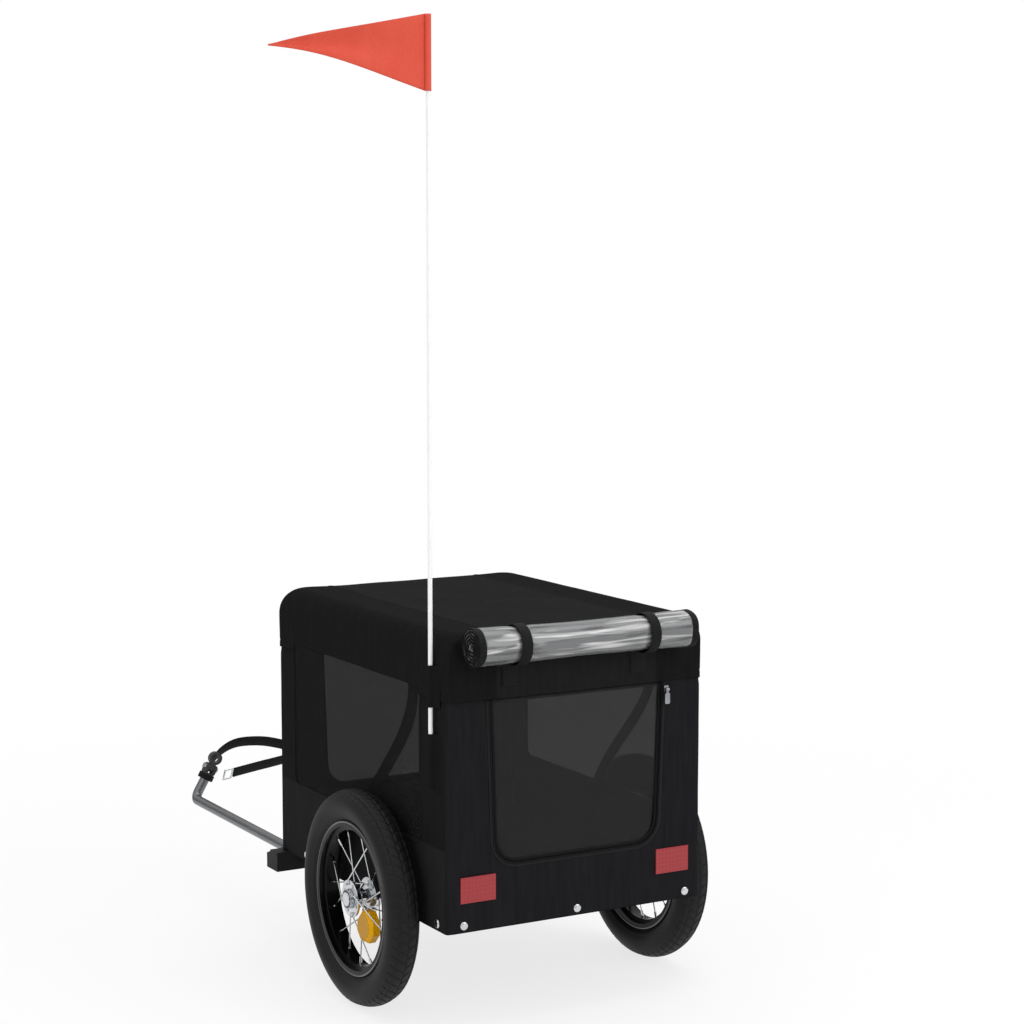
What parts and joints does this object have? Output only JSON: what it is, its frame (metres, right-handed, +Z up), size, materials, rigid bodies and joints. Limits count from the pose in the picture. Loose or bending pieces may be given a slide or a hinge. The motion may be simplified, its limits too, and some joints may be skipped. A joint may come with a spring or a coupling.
{
  "type": "dog bike trailer",
  "caption": "Cloth dog cabin with mesh doors and windows on two spoked wheels, towed by a bent drawbar with a hitch eye, with a pennant on a pole.",
  "frame": {"origin": "on the ground, under the middle of the trailer's box, safety strap left out", "axes": "+X to the right of the way it is towed, +Y forward along the drawbar, +Z up along the flag pole"},
  "size_m": [0.6496, 1.0612, 1.338],
  "materials": {
    "cover_cloth": "woven polyester, matt, near black",
    "mesh": "fine woven mesh, see-through, dark grey",
    "clear_vinyl": "rolled clear film, streaky",
    "webbing": "flat woven webbing, black",
    "frame_paint": "powder coat on steel tube, satin black",
    "drawbar_paint": "powder coat on steel tube, gunmetal",
    "moulded_black": "moulded, fine grain, black",
    "floor_panel": "flat board, black",
    "bright_steel": "plated, bright",
    "ground_steel": "turned and ground",
    "rim_black": "gloss black",
    "tyre_rubber": "matt rubber",
    "tube_rubber": "plain rubber",
    "amber_reflector": "clear amber moulding over prisms",
    "red_reflector": "red film with a fine grid",
    "white_rod": "pultruded glass-fibre rod, white",
    "pennant_cloth": "light coated cloth, orange red"
  },
  "bodies": {
    "cabin": {"base_frame": "frame_paint", "floor_board": "floor_panel", "rear_hoop": "frame_paint", "front_hoop": "frame_paint", "top_rails": "frame_paint", "hoop_sockets": "moulded_black", "roof_cover": "cover_cloth", "rear_panel": "cover_cloth", "front_panel": "cover_cloth", "left_panel": "cover_cloth", "right_panel": "cover_cloth", "window_meshes": "mesh", "side_braces": "webbing", "zip_tapes": "webbing", "rear_reflectors": "red_reflector", "cover_bolts": "bright_steel", "rain_cover_roll": "clear_vinyl", "rain_cover_bindings": "webbing", "roll_straps": "webbing", "pole_sleeves": "cover_cloth", "drawbar_bracket": "moulded_black", "bracket_bolts": "bright_steel", "axle_receivers": "ground_steel", "stub_axles": "ground_steel", "axle_caps": "moulded_black"},
    "left_wheel": {"left_tyre": "tyre_rubber", "left_inner_tube": "tube_rubber", "left_rim": "rim_black", "left_spokes": "bright_steel", "left_nipples": "bright_steel", "left_hub": "bright_steel", "left_hub_bearings": "ground_steel", "left_spoke_reflector": "amber_reflector"},
    "right_wheel": {"right_tyre": "tyre_rubber", "right_inner_tube": "tube_rubber", "right_rim": "rim_black", "right_spokes": "bright_steel", "right_nipples": "bright_steel", "right_hub": "bright_steel", "right_hub_bearings": "ground_steel", "right_spoke_reflector": "amber_reflector"},
    "left_button": {"left_release_button": "bright_steel"},
    "right_button": {"right_release_button": "bright_steel"},
    "rear_door": {"rear_door_binding": "webbing", "rear_door_mesh": "mesh"},
    "front_door": {"front_door_binding": "webbing", "front_door_mesh": "mesh"},
    "rear_slider": {"rear_zip_slider": "bright_steel"},
    "rear_pull": {"rear_zip_pull": "bright_steel"},
    "front_slider": {"front_zip_slider": "bright_steel"},
    "front_pull": {"front_zip_pull": "bright_steel"},
    "pole": {"flag_pole": "white_rod"},
    "flag": {"pennant": "pennant_cloth"},
    "drawbar": {"drawbar_tube": "drawbar_paint", "coupler_fork": "moulded_black", "coupler_bolt": "bright_steel", "strap_collar": "webbing", "safety_strap": "webbing", "strap_ring": "bright_steel"},
    "hitch": {"hitch_eye": "moulded_black"}
  },
  "joints": [
    {"name": "left_wheel_spin", "type": "hinge", "parent": "cabin", "child": "left_wheel", "pos_m": [-0.16324, -0.26868, 0.15], "axis": [1, 0, 0], "continuous": true},
    {"name": "left_button_press", "type": "slide", "parent": "cabin", "child": "left_button", "axis": [1, 0, 0], "range_m": [0, 0.0025], "stiffness_N_per_m": 500},
    {"name": "right_wheel_spin", "type": "hinge", "parent": "cabin", "child": "right_wheel", "pos_m": [0.30176, -0.26868, 0.15], "axis": [1, 0, 0], "continuous": true},
    {"name": "right_button_press", "type": "slide", "parent": "cabin", "child": "right_button", "axis": [-1, 0, 0], "range_m": [0, 0.0025], "stiffness_N_per_m": 500},
    {"name": "rear_door_swing", "type": "hinge", "parent": "cabin", "child": "rear_door", "pos_m": [0.06926, -0.46268, 0.4485], "axis": [-1, 0, 0], "range_deg": [0, 110]},
    {"name": "rear_zip_slide", "type": "slide", "parent": "cabin", "child": "rear_slider", "axis": [0.0357, 0, 0.9994], "range_m": [-0.16, 0]},
    {"name": "rear_pull_swing", "type": "hinge", "parent": "rear_slider", "child": "rear_pull", "pos_m": [0.20896, -0.47028, 0.4395], "axis": [-1, 0, 0], "range_deg": [0, 100]},
    {"name": "front_door_swing", "type": "hinge", "parent": "cabin", "child": "front_door", "pos_m": [0.06926, 0.06932, 0.4485], "axis": [1, 0, 0], "range_deg": [0, 110]},
    {"name": "front_zip_slide", "type": "slide", "parent": "cabin", "child": "front_slider", "axis": [0.0357, 0, 0.9994], "range_m": [-0.16, 0]},
    {"name": "front_pull_swing", "type": "hinge", "parent": "front_slider", "child": "front_pull", "pos_m": [0.20896, 0.07692, 0.4395], "axis": [1, 0, 0], "range_deg": [0, 100]},
    {"name": "pole_lift", "type": "slide", "parent": "cabin", "child": "pole", "axis": [0, 0, 1], "range_m": [0, 0.17]},
    {"name": "pennant_swivel", "type": "hinge", "parent": "pole", "child": "flag", "pos_m": [-0.13774, -0.43168, 0.3343], "axis": [0, 0, 1], "continuous": true},
    {"name": "drawbar_pull_out", "type": "slide", "parent": "cabin", "child": "drawbar", "axis": [0, 1, 0], "range_m": [0, 0.07]},
    {"name": "coupler_pivot", "type": "hinge", "parent": "drawbar", "child": "hitch", "pos_m": [-0.07024, 0.49732, 0.17436], "axis": [0.866, 0, -0.5], "range_deg": [-35, 35]}
  ]
}
